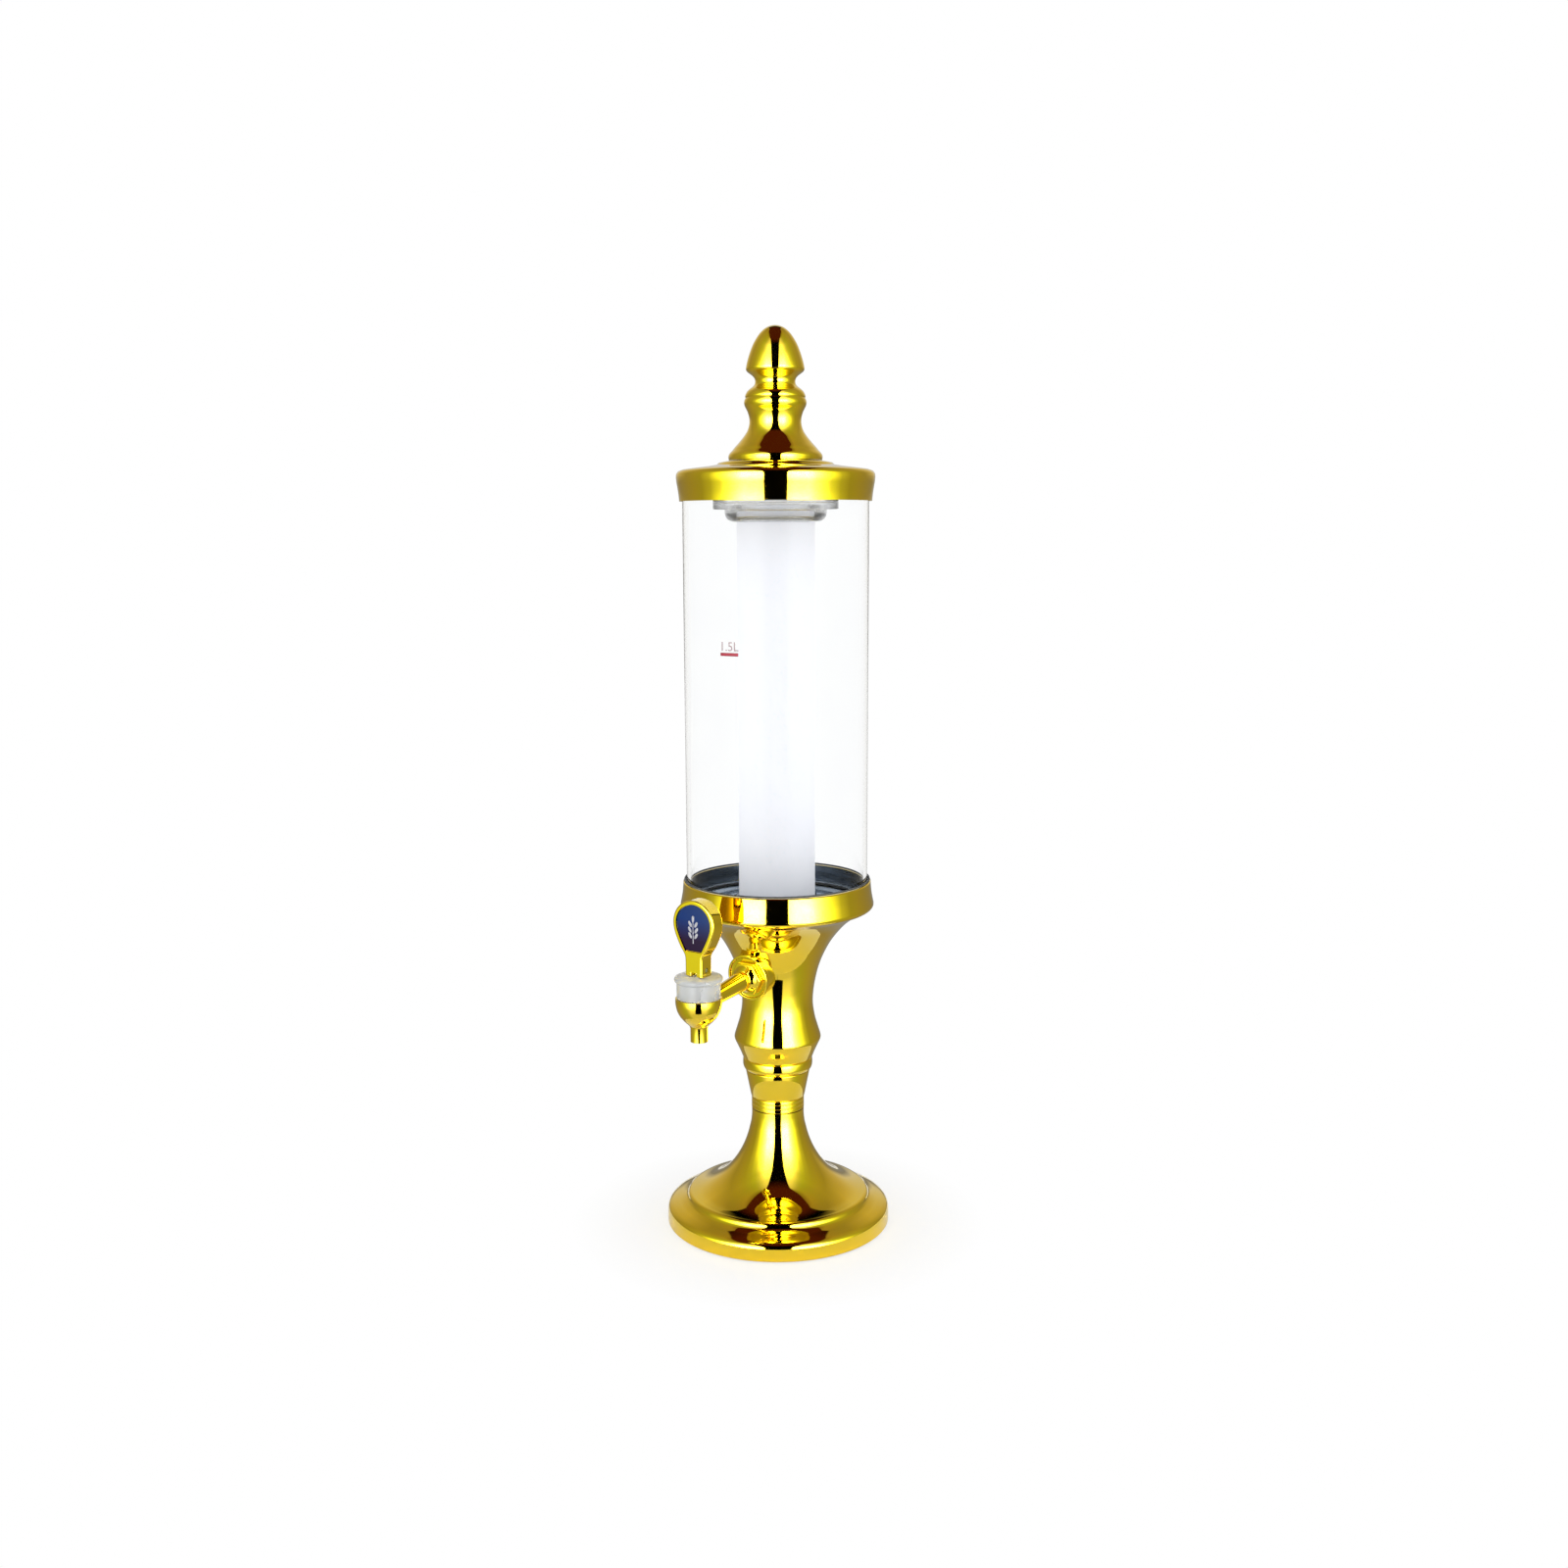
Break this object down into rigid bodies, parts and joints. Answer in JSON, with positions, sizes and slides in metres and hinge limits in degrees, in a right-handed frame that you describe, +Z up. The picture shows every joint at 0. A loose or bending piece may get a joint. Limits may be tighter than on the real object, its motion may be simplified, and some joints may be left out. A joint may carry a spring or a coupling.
{
  "type": "beer tower dispenser",
  "caption": "Tabletop drink tower: clear tank with inner ice tube on a turned gold pedestal, with a side lever tap, lift-off lid and weighted foot.",
  "frame": {"origin": "middle of the pad's underside, where the tower's axis meets the table", "axes": "+Z up the tower's axis, -Y towards the tap, +X to the right as seen from the tap's side"},
  "size_m": [0.15, 0.1761, 0.59],
  "materials": {
    "gold": "mirror gold plating on moulded plastic",
    "clear_acrylic": "clear, polished",
    "frosted_acrylic": "frosted white",
    "satin_metal": "silver plating, satin",
    "rubber": "matte",
    "silicone": "translucent, soft sheen",
    "steel": "bright",
    "ballast_iron": "rough black paint",
    "cover_plastic": "fine grain",
    "badge_enamel": "domed clear coat over blue to violet"
  },
  "bodies": {
    "stand": {"foot_shell": "gold", "base_cover": "cover_plastic", "base_pad": "rubber", "ballast": "ballast_iron", "cover_screw_1": "steel", "cover_screw_2": "steel", "cover_screw_3": "steel", "cover_screw_4": "steel", "lower_band": "gold", "neck_sleeve": "gold", "neck_ring": "gold", "tie_bolt": "steel", "tie_washer_low": "steel", "tie_washer_top": "steel", "tie_nut": "steel", "pedestal_cup": "gold", "tank_floor": "satin_metal", "tank_gasket": "rubber", "cup_lip_seal": "rubber", "tank": "clear_acrylic", "beer_hose": "silicone", "hose_clamp_top": "steel", "hose_clamp_tap": "steel", "tap_flange": "gold", "tap_hub_nut": "gold", "tap_washer": "rubber", "tap_locknut": "steel", "tap_body": "gold", "bonnet": "clear_acrylic", "valve_spring": "steel"},
    "valve": {"valve_stem": "steel", "valve_plug": "silicone", "spring_washer": "steel", "lever_pin": "steel"},
    "lever": {"lever_handle": "gold", "badge_plate": "badge_enamel"},
    "ice_tube": {"ice_tube": "frosted_acrylic"},
    "ice_cap": {"ice_tube_cap": "clear_acrylic", "cap_seal": "rubber"},
    "lid": {"lid_shell": "gold", "finial": "gold", "finial_washer": "steel", "finial_screw": "steel"}
  },
  "joints": [
    {"name": "valve_lift", "type": "slide", "parent": "stand", "child": "valve", "axis": [0, 0, 1], "range_m": [0, 0.002], "stiffness_N_per_m": 1700, "springref_m": -0.002, "deforming": ["valve_spring"]},
    {"name": "lever_tilt", "type": "hinge", "parent": "valve", "child": "lever", "pos_m": [0, -0.0858, 0.19362], "axis": [1, 0, 0], "range_deg": [0, 35]},
    {"name": "ice_tube_lift", "type": "slide", "parent": "stand", "child": "ice_tube", "axis": [0, 0, 1], "range_m": [0, 0.28]},
    {"name": "ice_cap_lift", "type": "slide", "parent": "ice_tube", "child": "ice_cap", "axis": [0, 0, 1], "range_m": [0, 0.06]},
    {"name": "lid_lift", "type": "slide", "parent": "ice_cap", "child": "lid", "axis": [0, 0, 1], "range_m": [0, 0.1]}
  ],
  "couplings": [
    {"joint": "lever_tilt", "follows": "valve_lift", "rad_per_m": 305.43}
  ]
}
